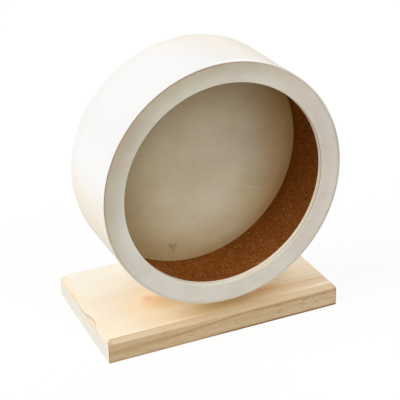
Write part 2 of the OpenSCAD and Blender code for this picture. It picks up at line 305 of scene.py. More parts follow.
# %% Patterns
class Patterns(Bench):
    """A bench that also knows the patterns of wood, cork and metal."""

    def noise(self, at, size=1.0, detail=2.0, roughness=0.5, distortion=0.0):
        """Soft random patches. The size is that of a patch, in millimetres."""
        made = self.step("ShaderNodeTexNoise", {
            "Vector": at, "Scale": 1.0 / size, "Detail": detail,
            "Roughness": roughness, "Distortion": distortion,
        })
        return made.outputs[0]

    def fade(self, value, start, end, low=0.0, high=1.0):
        """Goes smoothly from low to high while value goes from start to end."""
        made = self.step("ShaderNodeMapRange", {
            "Value": value, "From Min": start, "From Max": end, "To Min": low, "To Max": high,
        }, interpolation_type="SMOOTHSTEP")
        return made.outputs[0]

    def window(self, value, start, end, soft):
        """1 where value is between start and end, and 0 elsewhere, with soft edges."""
        rise = self.fade(value, start - soft, start + soft)
        fall = self.fade(value, end - soft, end + soft, 1.0, 0.0)
        return self.times(rise, fall)

    def distance(self, across, up, from_across, from_up):
        """How far a point is from a line, seen along that line."""
        side = self.plus(across, -from_across)
        rise = self.plus(up, -from_up)
        squares = self.plus(self.times(side, side), self.times(rise, rise))
        return self.sum("SQRT", squares)

    def spot(self, middle, radii, soft=0.35, wobble=0.0):
        """1 inside an egg-shaped spot, fading to 0 outside it."""
        moved = self.step("ShaderNodeVectorMath", {0: self.place, 1: middle}, operation="SUBTRACT")
        shrunk = self.scaled(moved.outputs[0], tuple(1.0 / radius for radius in radii))
        length = self.step("ShaderNodeVectorMath", {0: shrunk}, operation="LENGTH")
        reach = length.outputs["Value"]
        if wobble:
            ripple = self.noise(self.place, min(radii), 2.0)
            reach = self.plus(reach, self.sum("MULTIPLY_ADD", ripple, wobble, -wobble / 2))
        return self.fade(reach, 1.0 - soft, 1.0 + soft, 1.0, 0.0)

    def drawn_line(self, value, span, reach, points):
        """The height of a line drawn through points, read where value lies within span."""
        start, end = span
        made = self.step("ShaderNodeFloatCurve")
        curve = made.mapping.curves[0]
        shares = [((along - start) / (end - start), height / reach) for along, height in points]
        curve.points[0].location = shares[0]
        curve.points[1].location = shares[-1]
        for share in shares[1:-1]:
            curve.points.new(*share)
        made.mapping.update()
        along_span = self.step("ShaderNodeMapRange", {
            "Value": value, "From Min": start, "From Max": end}).outputs[0]
        feed(self.tree, made.inputs["Value"], along_span)
        return self.times(made.outputs[0], reach)


print("Patterns ready")

# %% [markdown]
# Colour is laid on as a painter does it. A dab covers what is below, and a glaze is thin and
# only tints it, so the grain still shows through. Relief needs no extra points: a bump tilts
# the light on fibres and pores that are too fine for the mesh.

# %% Finishes
class Finish(Patterns):
    """A whole finish: patterns, the colours laid on with them, and relief."""

    def blend(self, share, first, second, mode="MIX"):
        """The first colour where share is 0, the second where it is 1."""
        made = self.step("ShaderNodeMix", {0: share, 6: first, 7: second},
                         data_type="RGBA", blend_type=mode)
        return made.outputs[2]

    def dabbed(self, colour, share, strength, paint):
        """Covers the colour with paint where share is 1, as far as the strength goes."""
        return self.blend(self.times(share, strength), colour, paint)

    def tinted(self, colour, share, tint):
        """The colour times a tint where share is 1, and unchanged where it is 0."""
        return self.blend(share, colour, tuple(tint) + (1.0,), mode="MULTIPLY")

    def glazed(self, colour, coats):
        """Tints the colour coat by coat. Each coat is a share and a tint."""
        for share, tint in coats:
            colour = self.tinted(colour, share, tint)
        return colour

    def darkened(self, colour, share, depth):
        """The colour times (1 - depth) where share is 1, and unchanged where it is 0."""
        made = self.step("ShaderNodeVectorMath", {
            0: colour, "Scale": self.sum("MULTIPLY_ADD", share, -depth, 1.0),
        }, operation="SCALE")
        return made.outputs[0]

    def colour(self, value):
        feed(self.tree, self.shader.inputs["Base Color"], value)

    def rough(self, value):
        feed(self.tree, self.shader.inputs["Roughness"], value)

    def relief(self, height, depth_mm, strength=1.0):
        """Makes the surface look raised by depth_mm where height is 1."""
        made = self.step("ShaderNodeBump", {
            "Height": height, "Distance": depth_mm * MM, "Strength": strength,
        })
        feed(self.tree, self.shader.inputs["Normal"], made.outputs[0])


def wear(finish, *nodes):
    """Puts a finish on every material slot of the named CAD nodes, and says how big it is."""
    for name in nodes:
        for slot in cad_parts[name].material_slots:
            slot.material = finish.material
    print(", ".join(nodes), "wear", finish.material.name, "of", len(finish.tree.nodes), "steps")


print("Finishes ready")

# %% [markdown]
# Solid pine is cut from a log, so its grain is the log's rings, seen wherever a face cuts
# them. An image of boards would show the same face on all sides. This works out the distance
# from the log's middle instead, so the rings run on round each edge by themselves. Each ring
# fades from pale spring wood to darker summer wood and then stops short.

# %% Pine from a log
def pine(finish, along, across, deep, pith, ring_mm, pale, late, ring_share, fibre_share):
    """Colours solid pine: along runs with the grain, and pith is the log's middle."""
    drawn_out = finish.joined(finish.times(along, 0.02), across, deep)
    wander = finish.noise(drawn_out, 30.0, 2.0, 0.5)
    ripple = finish.noise(drawn_out, 7.0, 2.0, 0.5)
    radius = finish.distance(across, deep, *pith)
    rings = finish.sum("DIVIDE", radius, ring_mm)
    rings = finish.plus(rings, finish.sum("MULTIPLY_ADD", wander, 2.4, -1.2))
    rings = finish.plus(rings, finish.sum("MULTIPLY_ADD", ripple, 0.5, -0.25))
    phase = finish.sum("FRACT", rings)
    summer = finish.times(finish.fade(phase, 0.30, 0.88), finish.fade(phase, 0.93, 1.0, 1.0, 0.0))
    thread = finish.joined(finish.times(along, 0.03), across, deep)
    fibre = finish.noise(thread, 0.9, 3.0, 0.6)
    dash = finish.noise(finish.scaled(thread, (3.0, 1.0, 1.0)), 0.7, 1.0)
    shade = finish.times(summer, ring_share)
    shade = finish.plus(shade, finish.sum("MULTIPLY_ADD", fibre, fibre_share, -fibre_share / 2))
    shade = finish.plus(shade, finish.times(finish.fade(dash, 0.62, 0.75), fibre_share * 0.6))
    return finish.blend(shade, pale, late), fibre, summer


board = Finish("pine_base", roughness=0.62, shine=0.25)
top_colour, board_fibre, board_summer = pine(
    board, board.x, board.y, board.z, pith=(-15.0, -300.0), ring_mm=7.0,
    pale=tone(249, 239, 219), late=tone(222, 182, 130), ring_share=0.10, fibre_share=0.12,
)
print("The base board was cut about 300 mm from the log's middle")

# %% [markdown]
# The base board lay far from the log's middle, with its top almost along the rings. So the top shows only
# broad faint bands. Its rear left is white sapwood, its right half has honey-coloured streaks, and under
# the drum lies a flat brown knot with a pink core. The right half is also glazed warmer and darker:
# painted shade for the warm bounce light in the drum's shadow.

# %% Base board: sapwood and knot on the top
drawn_along = board.scaled(board.place, (0.05, 1.0, 1.0))
honey_streak = board.fade(board.noise(drawn_along, 3.2, 2.0, 0.5), 0.50, 0.72)
right_half = board.fade(board.x, -10.0, 70.0)
honey_share = board.plus(board.times(right_half, 0.32), 0.05)
top_colour = board.blend(board.times(honey_streak, honey_share), top_colour, tone(226, 178, 118))
# Painted shade: the right half is glazed warmer and darker, for the warm bounce light in the drum's
# shadow.
top_colour = board.tinted(top_colour, right_half, (0.98, 0.91, 0.83))
sapwood = board.times(board.fade(board.x, -25.0, -55.0), board.fade(board.y, -10.0, 45.0))
top_colour = board.dabbed(top_colour, sapwood, 0.8, tone(255, 249, 236))


def top_spot(x, y, reach, soft, wobble):
    """A soft patch with its middle on the board's top."""
    return board.spot((x, y, base_high.z), reach, soft=soft, wobble=wobble)


top_colour = board.glazed(top_colour, [
    (top_spot(-50.0, -16.0, (24.0, 24.0, 12.0), 0.8, 0.4), (1.03, 0.955, 0.84)),
    (top_spot(-35.0, -25.0, (17.0, 10.0, 8.0), 0.8, 0.7), (0.86, 0.80, 0.67)),
])
pink_core = top_spot(-49.0, -11.0, (4.5, 4.0, 6.0), 0.9, 0.9)
top_colour = board.dabbed(top_colour, pink_core, 0.50, tone(236, 174, 138))
pink_tail = top_spot(-42.0, -17.0, (11.0, 6.0, 6.0), 0.8, 0.9)
top_colour = board.dabbed(top_colour, pink_tail, 0.42, tone(228, 172, 128))
clear_top = top_colour
print("The knot's core is at x -49, y -11 mm")

# %% [markdown]
# Along its front the top is glazed darker and warmer under the drum. These thin glazes are painted shadow
# of the drum, warm with bounce light from the wood. They are long in X and short in Y, so the rings still
# show. The right end and a band along the front edge at the right are painted lighter, as painted light.
# One short streak of pitch is redder than the rest.

# %% Base board: painted shadow and light along the front of the top
# Painted shadow of the drum on the top, warm with bounce light from the wood.
painted_shadow_left = top_spot(-42.0, -52.0, (32.0, 13.0, 8.0), 0.8, 0.4)
painted_shadow_middle = board.times(top_spot(4.0, -51.0, (36.0, 12.0, 8.0), 0.7, 0.6), 0.9)
painted_shadow_right = top_spot(38.0, -43.5, (38.0, 5.5, 8.0), 0.8, 0.5)
# Painted light: the right end and a band along the front edge at the right are lighter.
painted_light_end = top_spot(95.0, -13.0, (30.0, 19.0, 8.0), 0.7, 0.4)
painted_crest_highlight = board.times(board.window(board.y, -57.0, -52.5, 1.2), board.fade(board.x, 40.0, 75.0))
top_colour = board.glazed(top_colour, [
    (painted_shadow_left, (0.88, 0.83, 0.76)),
    (painted_shadow_middle, (0.95, 0.82, 0.58)),
    (painted_shadow_right, (0.90, 0.82, 0.68)),
    (painted_light_end, (1.19, 1.23, 1.31)),
    (painted_crest_highlight, (1.09, 1.12, 1.18)),
])
pitch_streak = top_spot(46.0, -40.0, (12.0, 3.5, 8.0), 0.6, 0.7)
top_colour = board.dabbed(top_colour, pitch_streak, 0.40, tone(226, 150, 88))
print("Stains laid along the front of the top")

# %% [markdown]
# The front face cuts straight across the rings and is browner than the top. Its ground is a
# fine mottle, drawn out along the board, with a patch of heartwood at the left, an eye-shaped
# mark beside it and a slow drift to a paler right end.

# %% Base board: ground colour of the front
mottle = board.noise(board.scaled(board.place, (0.25, 1.0, 1.0)), 3.0, 3.0, 0.6)
mottle = board.fade(mottle, 0.35, 0.70, 0.0, 0.35)
front_colour = board.blend(board.plus(mottle, board.times(board_summer, 0.12)),
                           tone(240, 213, 171), tone(212, 170, 112))
heartwood = board.times(board.fade(board.x, -50.0, -80.0), board.window(board.z, 5.5, 9.0, 1.2))
front_eye = board.spot((-51.0, base_low.y, 10.3), (17.0, 3.0, 1.5), soft=0.6, wobble=0.3)
front_colour = board.glazed(front_colour, [
    (heartwood, (0.91, 0.86, 0.80)),
    (board.window(board.z, 7.0, 14.0, 1.5), (0.985, 0.965, 0.92)),
    (front_eye, (0.90, 0.85, 0.78)),
    (board.fade(board.x, 20.0, 100.0), (1.04, 1.06, 1.12)),
])
grit = board.noise(board.scaled(board.place, (0.35, 1.0, 1.0)), 1.1, 3.0, 0.7)
front_colour = board.darkened(front_colour, board.fade(grit, 0.45, 0.75), 0.12)
print("Front face is", round(base_high.z - base_low.z, 1), "mm high")

# %% [markdown]
# Three lines run along the front. A summer ring climbs from the middle of the left end and stops sharply
# on its upper side. A dark line along the lower edge is painted shade, where the board stands on the
# floor, and it shares the ring's slow wave. An amber line just under the bevel at the right is painted
# shade too. Short brown flecks are resin canals.

# %% Base board: rings, flecks and painted shade of the front
wave = board.noise(drawn_along, 6.0, 2.0, 0.5)
climb = board.fade(board.x, -62.0, 20.0, 9.8, 15.2)
ring_line = board.plus(climb, board.sum("MULTIPLY_ADD", wave, 3.4, -1.7))
above_line = board.plus(board.z, board.times(ring_line, -1.0))
dark_ring = board.times(board.fade(above_line, -3.2, -0.1), board.fade(above_line, -0.1, 0.6, 1.0, 0.0))
dark_ring_share = board.fade(board.x, -70.0, 10.0, 0.30, 0.52)
front_colour = board.blend(
    board.times(dark_ring, dark_ring_share), front_colour, tone(186, 134, 76))
# Painted shade along the lower edge, where the board stands on the floor.
painted_foot_shade = board.times(board.fade(board.plus(board.z, wave), 1.3, 2.6, 1.0, 0.0),
                       board.fade(board.x, -25.0, 15.0, 0.42, 1.0))
front_colour = board.dabbed(front_colour, painted_foot_shade, 0.92, tone(148, 98, 20))
# Painted shade just under the bevel at the right.
painted_shade_under_bevel = board.times(board.window(board.z, 15.9, 17.2, 0.5), board.fade(board.x, 10.0, 45.0))
front_colour = board.dabbed(front_colour, painted_shade_under_bevel, 0.35, tone(232, 176, 108))

FLECKS = [  # x, z and reach along the board
    (79.9, 12.1, 1.1), (84.0, 7.5, 0.8), (72.0, 12.8, 2.6), (68.5, 9.4, 2.2), (45.8, 13.4, 3.2),
    (49.6, 8.2, 2.0), (47.0, 6.6, 2.4), (8.7, 9.6, 0.9), (9.2, 7.2, 0.8), (90.0, 13.6, 1.2),
]
FLECK_HALF_HEIGHT = 0.55
fleck = 0.0
for x, z, reach in FLECKS:
    one_fleck = board.spot((x, base_low.y, z), (reach, 3.0, FLECK_HALF_HEIGHT), soft=0.5, wobble=0.9)
    fleck = board.either(fleck, one_fleck)
front_colour = board.dabbed(front_colour, fleck, 0.50, tone(150, 104, 60))
print("Front has", len(FLECKS), "flecks")

# %% [markdown]
# The board's four top edges are bevelled. The front bevel cuts the same wood as the top but looks darker,
# since the plane left it rougher, and its crest is a thin brown line. Under the drum the bevel is glazed
# darker as painted shadow, towards the right end it is painted lighter as painted light, and at its left
# corner a greyish glaze is painted shade. Both ends of the front face are painted darker, as painted
# shade on the corners. Zones that are only a few tenths of a millimetre soft keep the colours of
# neighbouring faces apart.

# %% Base board: front bevel and corners
front_zone = board.fade(board.y, base_low.y + 0.3, base_low.y + 0.1)
bevel_zone = board.times(board.fade(board.y, base_low.y + 3.6, base_low.y + 3.3),
                         board.fade(front_zone, 0.0, 1.0, 1.0, 0.0))
bevel_colour = board.glazed(clear_top, [
    (1.0, (0.79, 0.68, 0.57)),
    (board.fade(board.x, -10.0, 25.0), (1.06, 1.10, 1.12)),
    # Painted shadow under the drum, painted light at the right end, and painted shade at the left corner.
    (board.window(board.x, -62.0, 42.0, 12.0), (0.95, 0.93, 0.84)),
    (board.fade(board.x, 45.0, 62.0), (1.04, 1.07, 1.12)),
    (board.fade(board.x, -99.5, -101.0), (0.85, 0.86, 0.93)),
])
crest_line = board.times(board.window(board.y, base_low.y + 2.9, base_low.y + 3.5, 0.25),
                         board.fade(board.x, -20.0, 0.0, 1.0, 0.3))
bevel_colour = board.dabbed(bevel_colour, crest_line, 0.45, tone(196, 152, 108))
board_colour = board.blend(bevel_zone, top_colour, bevel_colour)
# Painted shade on the front face's two end corners.
painted_corner_shade = board.either(board.fade(board.x, base_low.x + 1.3, base_low.x + 0.5),
                           board.fade(board.x, base_high.x - 1.3, base_high.x - 0.5))
front_colour = board.tinted(front_colour, painted_corner_shade, (0.74, 0.71, 0.68))
board_colour = board.blend(front_zone, board_colour, front_colour)
print("Front and bevel joined to the top")

# %% [markdown]
# The two ends show end grain, which is pale here with a few warm clouds. A wavy line parts it: below lies
# the grain, and above lies the cream-coloured wood of the top. The line is drawn through points, because
# no noise would put its waves where they belong. Along the bottom edge the ends are painted darker as
# painted shade, near the front corner they are painted lighter as painted light, and the end bevels are
# glazed darker as painted shade.

# %% Base board: ends
CREST_POINTS = [  # y and height of the wavy line
    (-60.0, 17.0), (-42.0, 15.4), (-31.3, 16.7), (-23.8, 18.0), (-14.1, 17.3), (2.7, 14.7),
    (10.7, 16.0), (18.8, 16.9), (36.7, 14.2), (57.4, 9.3), (60.0, 9.0),
]
end_zone = board.either(board.fade(board.x, base_low.x + 0.3, base_low.x + 0.1),
                        board.fade(board.x, base_high.x - 0.3, base_high.x - 0.1))
end_colour = board.blend(board.times(board_summer, 0.10), tone(249, 243, 230), tone(226, 202, 166))
warm_cloud = board.fade(board.noise(board.place, 9.0, 2.0, 0.5), 0.5, 0.75, 0.0, 0.4)
end_colour = board.blend(warm_cloud, end_colour, tone(244, 230, 200))
crest_height = board.drawn_line(board.y, (-60.0, 60.0), 20.0, CREST_POINTS)
over_crest = board.plus(board.z, board.times(crest_height, -1.0))
over_crest = board.plus(over_crest, board.sum("MULTIPLY_ADD", wave, 1.0, -0.5))
cream_cap = board.fade(over_crest, -0.4, 0.4)
end_colour = board.blend(cream_cap, end_colour, tone(253, 241, 220))
# Painted shade along the ends' bottom edge.
painted_end_foot_shade = board.fade(board.z, 0.2, 1.2, 1.0, 0.0)
end_colour = board.tinted(end_colour, painted_end_foot_shade, (0.86, 0.85, 0.84))
# Painted light near the front corner of the ends.
painted_corner_light = board.fade(board.y, base_low.y + 4.6, base_low.y + 2.6)
end_colour = board.dabbed(end_colour, painted_corner_light, 0.85, tone(255, 247, 230))
board_colour = board.blend(end_zone, board_colour, end_colour)
end_bevel = board.times(
    board.either(board.fade(board.x, base_low.x + 3.7, base_low.x + 3.3),
                 board.fade(board.x, base_high.x - 3.7, base_high.x - 3.3)),
    board.fade(board.z, base_high.z - 3.6, base_high.z - 3.3))
rear_bevel = board.times(end_bevel, board.fade(board.y, 0.0, 30.0))
# Painted shade: the end bevels are glazed darker.
board_colour = board.glazed(board_colour, [
    (end_bevel, (0.91, 0.86, 0.83)),
    (rear_bevel, (1.0, 0.96, 0.88)),
])
print("Wavy line drawn through", len(CREST_POINTS), "points")

# %% [markdown]
# At the left end a brown line of resin follows part of the wavy line, orange at one tip. It
# stained the wood below it a little. These are the last coats. The fibres, which pine shows
# on every face, then give the whole board its relief.

# %% Base board: resin, and the finished board
resin_line = board.fade(board.sum("ABSOLUTE", over_crest), 0.20, 0.75, 1.0, 0.0)
resin_line = board.times(resin_line, board.window(board.y, -31.0, 12.0, 3.0))
left_end = board.fade(board.x, base_low.x + 3.6, base_low.x + 3.0)
resin_line = board.times(resin_line, left_end)
resin_tone = board.blend(board.fade(board.y, -18.0, -30.0), tone(184, 150, 104), tone(240, 176, 104))
board_colour = board.dabbed(board_colour, resin_line, 0.72, resin_tone)
under_resin = board.spot((base_low.x, -18.0, 15.2), (3.0, 15.0, 1.6), soft=0.6, wobble=0.4)
resin_stain = board.spot((base_low.x, 23.0, 15.6), (3.0, 9.0, 2.2), soft=0.6, wobble=0.5)
board_colour = board.glazed(board_colour, [
    (under_resin, (0.96, 0.92, 0.82)),
    (resin_stain, (0.96, 0.90, 0.74)),
])
board.colour(board_colour)
board.relief(board_fibre, 0.12, 0.5)
wear(board, "base_board")

# %% [markdown]
# The upright is a second piece of pine, stood on end, so its grain runs up and its rings show
# as strong lines. One small knot sits beside the middle. Two beech dowels hold its foot. Beech
# is denser, pinkish, and full of short dark flecks.

# %% Upright board and dowels
post = Finish("pine_upright", roughness=0.62, shine=0.25)
post_colour, post_fibre, _ = pine(
    post, post.z, post.x, post.y, pith=(30.0, -60.0), ring_mm=5.5,
    pale=tone(247, 228, 202), late=tone(206, 158, 104), ring_share=0.50, fibre_share=0.20,
)
post_knot = post.spot((17.0, 46.0, 92.0), (5.0, 14.0, 7.0), soft=0.3, wobble=0.4)
post.colour(post.dabbed(post_colour, post_knot, 0.7, tone(176, 116, 68)))
post.relief(post_fibre, 0.12, 0.5)
wear(post, "upright_board")

beech = Finish("beech", roughness=0.5, shine=0.3)
beech_fleck = beech.noise(beech.scaled(beech.place, (1.0, 1.0, 0.12)), 0.8, 2.0, 0.6)
beech_share = beech.fade(beech_fleck, 0.42, 0.68)
beech.colour(beech.blend(beech_share, tone(226, 192, 150), tone(196, 150, 104)))
beech.relief(beech_fleck, 0.08, 0.4)
wear(beech, "upright_dowels")

# %% [markdown]
# The drum is made of thin plywood. A rotary cutter peels its veneer off a log like paper off a
# roll, so the figure is soft and wide, with short dark pores that all run one way. One rule
# makes every veneered face here. Only its colours and the way of its pores change.

# %% Veneer
ACROSS = (0.10, 1.0, 1.0)
ALONG_AXLE = (1.0, 0.06, 1.0)


def veneer(finish, grain, pale, dark, mottle_share, pore_share, streak_share):
    """Colours a veneered face. grain scales the place so that pores are long one way."""
    stretched = finish.scaled(finish.place, grain)
    mottle = finish.noise(finish.place, 26.0, 3.0, 0.55)
    streak = finish.noise(stretched, 1.1, 3.0, 0.65)
    pore_field = finish.noise(finish.scaled(stretched, (1.7, 1.7, 1.7)), 0.9, 1.0, 0.4)
    pore = finish.fade(pore_field, 0.60, 0.74)
    shade = finish.times(finish.fade(mottle, 0.35, 0.70), mottle_share)
    shade = finish.plus(shade, finish.sum("MULTIPLY_ADD", streak, streak_share, -streak_share / 2))
    shade = finish.plus(shade, finish.times(pore, pore_share))
    return finish.blend(shade, pale, dark), streak


print("Pores are", round(1 / ACROSS[0]), "times as long as wide on flat faces")

# %% [markdown]
# The shell is one bent sheet, nearly white, with its grain along the axle, since veneer bends best across
# the grain. Its upper left is a neutral white and its upper right a little creamier. Further coats that
# cross one another are painted light and shade: the top is darker, the rear a little darker, and the
# lower side, the right, the far left and the front lip are lighter, the lower side also creamier.

# %% Shell
shell = Finish("shell_veneer", roughness=0.55, shine=0.3)
shell_colour, shell_streak = veneer(shell, ALONG_AXLE, tone(253, 249, 241), tone(232, 219, 196),
                                    0.22, 0.16, 0.22)
shell_rise = shell.plus(shell.z, -axle_z)
upper_left = shell.plus(shell.times(shell_rise, 0.87), shell.times(shell.x, -0.5))
white_side = shell.fade(upper_left, 15.0, 65.0)
shell_colour = shell.dabbed(shell_colour, white_side, 0.85, tone(246, 246, 246))
upper_right = shell.plus(shell_rise, shell.times(shell.x, 0.6))
cream_side = shell.fade(shell.plus(upper_right, shell.times(shell.y, 0.5)), 66.0, 98.0)
painted_light_lip = shell.times(shell.fade(shell.y, -54.0, -60.0), shell.fade(shell.x, -22.0, 10.0))
# Painted light and shade, apart from the cream coat: the top darker, the lower side lighter, the rear
# darker, and the right, the far left and the front lip lighter.
shell_colour = shell.glazed(shell_colour, [
    (shell.fade(shell_rise, 5.0, 85.0), (0.845, 0.845, 0.85)),
    (shell.fade(shell_rise, 22.0, -8.0), (1.05, 1.0, 0.91)),
    (cream_side, (1.04, 0.99, 0.915)),
    (shell.fade(shell.y, -5.0, 10.0), (0.985, 0.965, 0.945)),
    (shell.fade(shell.x, 0.0, 26.0), (1.10, 1.09, 1.07)),
    (shell.fade(shell.x, -88.0, -97.0), (1.045, 1.045, 1.04)),
    (painted_light_lip, (1.09, 1.10, 1.09)),
])
print("Shell is", round(shell_high.y - shell_low.y, 1), "mm wide")

# %% [markdown]
# The sheet's cut ends are a line only 1.5 mm wide, but they draw the drum's outline. Three
# plies show there as pale, dark and pale rings, because the middle ply lies crosswise and
# shows its end grain. The upper left was burnt a little by the saw.

# %% Shell: cut edges
DIAGONAL = 0.707
shell_radius = shell.distance(shell.x, shell.z, 0.0, axle_z)
shell_face = shell.fade(shell.y, ring_face_y + 0.10, ring_face_y + 0.02)
shell_rear = shell.fade(shell.y, shell_high.y - 0.10, shell_high.y - 0.02)
middle_ply = shell.window(shell_radius, drum_r - 1.0, drum_r - 0.5, 0.08)
burnt = shell.times(shell.plus(shell.times(shell.x, -1.0), shell_rise), DIAGONAL)
burnt = shell.fade(burnt, 15.0, 80.0)
outer_ply = shell.blend(burnt, tone(246, 238, 222), tone(222, 200, 172))
inner_ply = shell.blend(burnt, tone(232, 222, 204), tone(180, 154, 124))
edge_colour = shell.blend(middle_ply, outer_ply, inner_ply)
grey_edge = shell.times(shell.fade(shell.x, 35.0, 65.0), shell.fade(shell_rise, 50.0, 25.0))
edge_colour = shell.tinted(edge_colour, grey_edge, (0.79, 0.82, 0.90))
shell.colour(shell.blend(shell.either(shell_face, shell_rear), shell_colour, edge_colour))
shell.relief(shell_streak, 0.05, 0.3)
wear(shell, "drum_shell")

# %% [markdown]
# The front ring is the face that one sees first. Its veneer runs across. Its slow drifts are painted
# shade and light: darker towards the upper left and towards the rim there, lighter and cooler at the
# left, and darker at the right. Coats that grow along a direction give these drifts, and a few soft
# patches of painted light and shade give the rest.

# %% Ring: face
ring = Finish("ring_veneer", roughness=0.5, shine=0.3)
ring_colour, ring_streak = veneer(ring, ACROSS, tone(253, 246, 232), tone(224, 210, 186),
                                  0.30, 0.20, 0.26)
ring_radius = ring.distance(ring.x, ring.z, 0.0, axle_z)
to_upper_left = ring.plus(ring.plus(ring.z, -axle_z), ring.times(ring.x, -1.0))
to_upper_left = ring.times(to_upper_left, DIAGONAL)
outwards = ring.fade(ring_radius, MOUTH_R + 1.5, drum_r - 2.5)
painted_rim_shade = ring.times(outwards, ring.fade(to_upper_left, -30.0, 70.0))
painted_right_shade = ring.times(ring.fade(ring.x, 40.0, 80.0), ring.fade(outwards, 0.0, 1.0, 1.0, 0.3))
# Painted shade and light: darker towards the upper left and its rim, lighter at the left, darker at the
# right.
ring_colour = ring.glazed(ring_colour, [
    (ring.fade(to_upper_left, 0.0, 100.0), (0.85, 0.83, 0.78)),
    (painted_rim_shade, (0.85, 0.80, 0.73)),
    (ring.fade(ring.x, -55.0, -82.0), (1.01, 1.05, 1.09)),
    (painted_right_shade, (0.93, 0.88, 0.88)),
])


def patched(finish, colour, face_y, patches):
    """Tints soft patches of a face: each has its x, z, reach in x and z, and tint."""
    for x, z, reach_x, reach_z, tint in patches:
        patch = finish.spot((x, face_y, z), (reach_x, 6.0, reach_z), soft=0.8, wobble=0.5)
        colour = finish.tinted(colour, patch, tint)
    return colour


# Soft patches of painted light and shade.
ring_colour = patched(ring, ring_colour, ring_face_y, [
    (-86.0, 182.0, 13.0, 20.0, (0.95, 0.88, 0.83)),
    (-47.0, 215.0, 22.0, 12.0, (1.05, 1.08, 1.06)),
    (86.0, 182.0, 9.0, 22.0, (0.93, 0.93, 0.94)),
])
print("Ring face is", round(drum_r - MOUTH_R, 1), "mm wide with the shell's edge")

# %% [markdown]
# The mouth is cut through three plies, so its wall shows a pale, a brown and a pale stripe. The edge
# between face and wall is broken, and its highlight is painted on as a cream line that is strongest at
# the lower left.

# %% Ring: mouth
ring_depth = ring.plus(ring.y, -ring_face_y)
cut_edge = ring.fade(ring_radius, MOUTH_R + 0.30, MOUTH_R + 0.10)
cut_edge = ring.times(cut_edge, ring.fade(ring_depth, 0.15, 0.45))
core_ply = ring.window(ring_depth, 0.7, 1.8, 0.15)
core_share = ring.fade(ring.x, 0.0, MOUTH_R)
core_colour = ring.blend(core_share, tone(253, 245, 224), tone(200, 174, 134))
cut_colour = ring.blend(core_ply, tone(255, 248, 228), core_colour)
# Painted highlight along the mouth's edge.
painted_edge_highlight = ring.fade(ring_radius, MOUTH_R + 1.3, MOUTH_R + 0.5)
painted_edge_highlight = ring.times(painted_edge_highlight, ring.fade(ring.x, -60.0, 30.0, 1.0, 0.0))
painted_edge_highlight = ring.times(painted_edge_highlight, ring.fade(ring.z, 120.0, 190.0, 1.0, 0.4))
ring_colour = ring.blend(painted_edge_highlight, ring_colour, tone(255, 251, 238))
ring.colour(ring.blend(cut_edge, ring_colour, cut_colour))
ring.relief(ring_streak, 0.05, 0.3)
wear(ring, "front_ring")

# %% [markdown]
# The back disc is seen deep inside the drum. Its veneer is olive brown. The light on it is painted: it is
# palest right of the middle, where the front lamps reach, and grows browner towards the rim, as painted
# shade and painted bounce from the cork. It is also painted darker at the top, the left and the bottom,
# and browner at the right. The disc's rear keeps the plain veneer. Each coat is a share that grows along
# X, along Z or with the distance from a point.

# %% Disc: veneer and painted light
disc = Finish("disc_veneer", roughness=0.55, shine=0.3)
disc_colour, disc_streak = veneer(disc, ACROSS, tone(254, 245, 217), tone(238, 218, 178),
                                  0.34, 0.36, 0.40)
figure = disc.noise(disc.scaled(disc.place, (0.30, 1.0, 1.0)), 5.0, 3.0, 0.6)
disc_colour = disc.darkened(disc_colour, disc.fade(figure, 0.42, 0.70), 0.03)
rear_colour = disc.tinted(disc_colour, 1.0, (0.90, 0.84, 0.74))
from_painted_light_middle = disc.distance(disc.x, disc.z, 30.0, 112.0)
painted_rim_bounce = disc.sum("POWER", disc.sum("DIVIDE", from_painted_light_middle, 90.0), 2.0)
# Painted light and shade inside the drum: browner rim, darker top, left and bottom, browner right.
disc_colour = disc.glazed(disc_colour, [
    (painted_rim_bounce, (0.79, 0.70, 0.52)),
    (disc.fade(disc.z, 150.0, 205.0), (0.90, 0.84, 0.80)),
    (disc.fade(disc.x, -14.0, -80.0), (0.80, 0.79, 0.78)),
    (disc.fade(disc.z, 75.0, 40.0), (0.90, 0.88, 0.78)),
    (disc.fade(disc.x, 50.0, 85.0), (1.02, 0.86, 0.65)),
])
print("Disc is palest at x 30, z 112 mm")

# %% [markdown]
# Single marks make the veneer this one sheet and no other. A pin knot near the bottom is a few soft dabs
# that join in a fork. Pale clouds and darker patches round the middle are painted light and shade, the
# rim at the right is painted browner as bounce from the cork, and one thin pale streak slants down to the
# right.

# %% Disc: marks and painted light
KNOT_DABS = [  # x, z and reach
    (-20.8, 54.9, 1.5), (-19.6, 53.2, 1.8), (-18.6, 51.2, 1.5), (-17.6, 49.2, 1.2),
    (-15.9, 54.1, 1.2), (-16.0, 52.6, 1.2),
]
for x, z, reach in KNOT_DABS:
    dab = disc.spot((x, disc_low.y, z), (reach, 3.0, reach), soft=0.8, wobble=0.6)
    disc_colour = disc.dabbed(disc_colour, dab, 0.34, tone(160, 118, 60))
# Painted light: a pale cloud right of the middle.
cloud = disc.spot((28.0, disc_low.y, 94.0), (26.0, 6.0, 15.0), soft=0.8, wobble=0.9)
disc_colour = disc.dabbed(disc_colour, cloud, 0.40, tone(255, 248, 220))
# Patches of painted light and shade.
disc_colour = patched(disc, disc_colour, disc_low.y, [
    (6.0, 75.0, 30.0, 20.0, (1.04, 1.08, 1.09)),
    (10.0, 116.0, 24.0, 16.0, (0.92, 0.89, 0.85)),
    (50.0, 99.0, 10.0, 13.0, (0.93, 0.92, 0.82)),
    (35.0, 109.0, 11.0, 9.0, (1.08, 1.07, 1.10)),
    (22.0, 161.0, 34.0, 16.0, (1.06, 1.07, 1.06)),
    (-34.0, 115.0, 15.0, 36.0, (1.05, 1.08, 1.07)),
    (60.0, 78.0, 20.0, 20.0, (0.99, 0.97, 0.85)),
    (70.0, 166.0, 17.0, 22.0, (0.95, 0.90, 0.83)),
])
